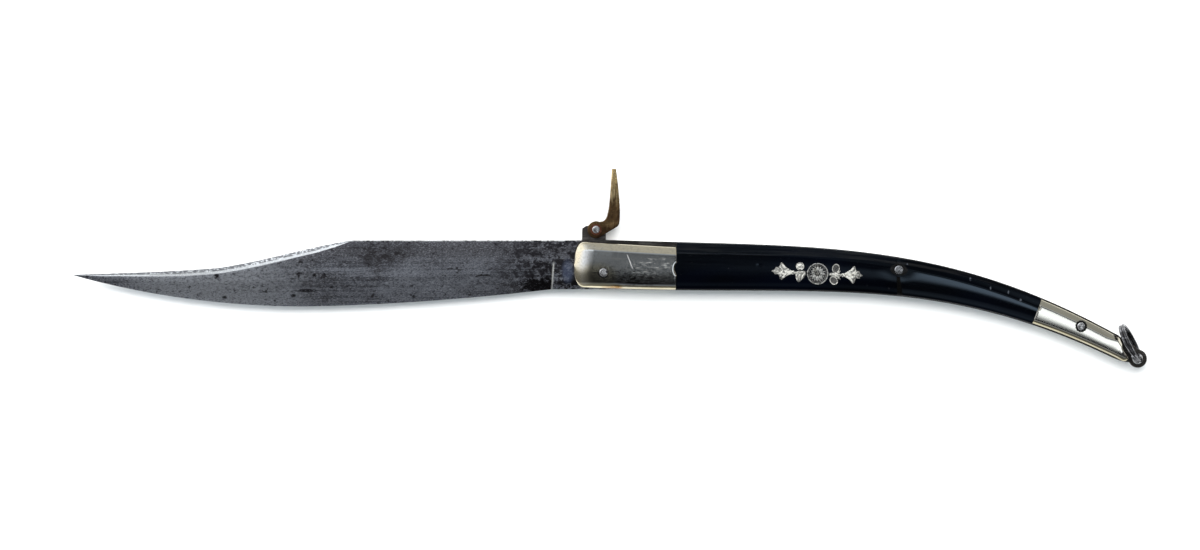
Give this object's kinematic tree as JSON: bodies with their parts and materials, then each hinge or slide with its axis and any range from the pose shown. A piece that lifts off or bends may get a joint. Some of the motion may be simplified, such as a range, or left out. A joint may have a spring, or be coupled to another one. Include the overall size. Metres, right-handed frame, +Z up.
{
  "type": "folding knife",
  "caption": "Large lever-lock folding knife with a clip-point blade, bowed horn handle with metal bolsters and tail caps, and a ring in the tail eye.",
  "frame": {"origin": "where the blade pivot's axis meets the plane that the knife lies on, which is the flat facet of the right bolster", "axes": "+X along the knife from the blade pivot towards the tail, +Y towards the handle's back, where the lever stands, +Z up out of the left side; with the blade open, its tip points along -X"},
  "size_m": [0.4018, 0.0745, 0.0161],
  "materials": {
    "blade_steel": "worn, fine lengthwise lines, grey stains",
    "spring_iron": "dark, oiled",
    "liner_iron": "dark, oiled",
    "nickel_silver": "pale, polished, fine scratches",
    "horn": "black buffalo horn, satin",
    "dark_strip": "darkened",
    "rivet_steel": "peened, bright",
    "dark_washer": "blackened",
    "brass": "brown patina, worn bright along the face",
    "red_washer": "reddish brown",
    "inlay_silver": "satin with dark engraving",
    "ring_steel": "dark, glossy wire"
  },
  "bodies": {
    "handle": {"tail_spacer": "spring_iron", "liner_left": "liner_iron", "liner_right": "liner_iron", "bolster_left": "nickel_silver", "bolster_right": "nickel_silver", "front_scale_left": "horn", "front_scale_right": "horn", "rear_scale_left": "horn", "rear_scale_right": "horn", "joint_strips": "dark_strip", "tail_cap_left": "nickel_silver", "tail_cap_right": "nickel_silver", "pivot_rivet": "rivet_steel", "pivot_rings": "dark_washer", "middle_rivet": "rivet_steel", "middle_washers": "dark_washer", "tail_rivet": "rivet_steel", "tail_washers": "dark_washer", "inlay_roundel": "inlay_silver", "inlay_sprays": "inlay_silver"},
    "blade": {"blade": "blade_steel"},
    "spring": {"back_spring": "spring_iron"},
    "lever": {"lever": "brass", "lever_pin": "rivet_steel", "lever_washers": "red_washer"},
    "ring": {"belt_ring": "ring_steel"}
  },
  "joints": [
    {"name": "blade_pivot", "type": "hinge", "parent": "handle", "child": "blade", "pos_m": [0, 0, 0.0063], "axis": [0, 0, 1], "range_deg": [0, 171], "deforming": ["back_spring"]},
    {"name": "spring_lift", "type": "hinge", "parent": "handle", "child": "spring", "pos_m": [0.11037, 0.00089, 0.0063], "axis": [0, 0, -1], "range_deg": [0, 1.4]},
    {"name": "lever_pull", "type": "hinge", "parent": "spring", "child": "lever", "pos_m": [-0.0028, 0.016, 0.0063], "axis": [0, 0, -1], "range_deg": [0, 58], "stiffness_Nm_per_rad": 0.1},
    {"name": "ring_swing", "type": "hinge", "parent": "handle", "child": "ring", "pos_m": [0.19995, -0.03226, 0.0063], "axis": [0, 0, 1], "range_deg": [-285, 8]}
  ],
  "couplings": [
    {"joint": "spring_lift", "follows": "lever_pull", "ratio": 0.024138}
  ]
}
